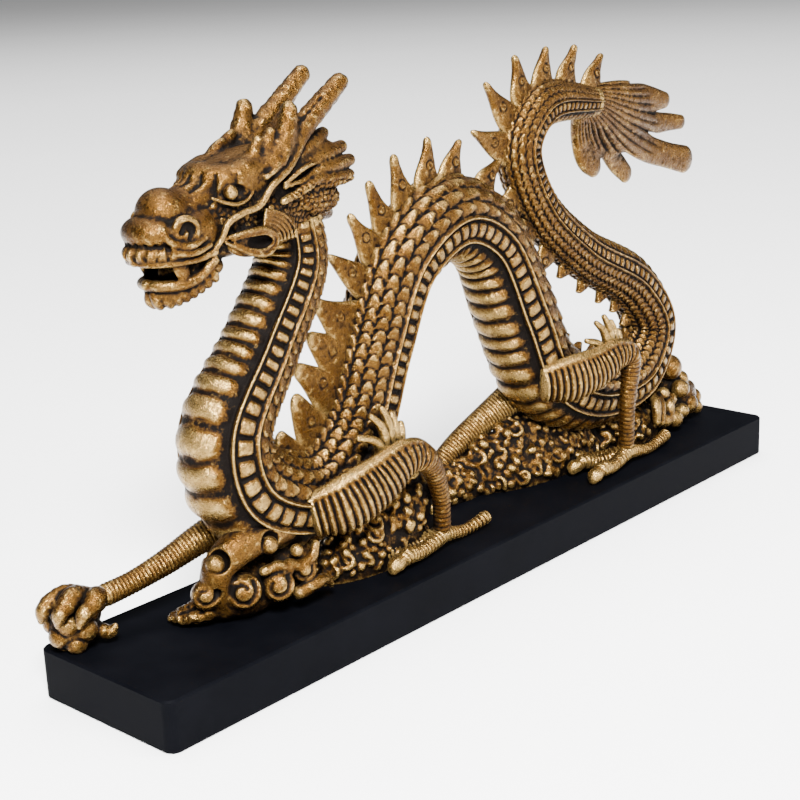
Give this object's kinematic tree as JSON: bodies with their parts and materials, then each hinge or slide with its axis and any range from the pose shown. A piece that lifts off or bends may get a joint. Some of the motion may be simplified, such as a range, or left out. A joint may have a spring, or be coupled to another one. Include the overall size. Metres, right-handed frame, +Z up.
{
  "type": "dragon sculpture",
  "caption": "Serpent dragon figure cast in one piece, arched in waves with a raised head and fanned tail, standing on a plain rectangular plinth.",
  "frame": {"origin": "middle of the plinth's underside", "axes": "+X along the plinth from the head towards the tail, +Y towards the side of the far legs, +Z up"},
  "size_m": [0.3, 0.055, 0.1639],
  "materials": {
    "antique_gold": "antique gold paint over cast resin, rubbed bright on the high places and washed with black-brown in the hollows",
    "black_paint": "satin black paint over wood, slightly uneven at the arrises"
  },
  "bodies": {
    "root": {"dragon": "antique_gold", "plinth": "black_paint"}
  },
  "joints": []
}
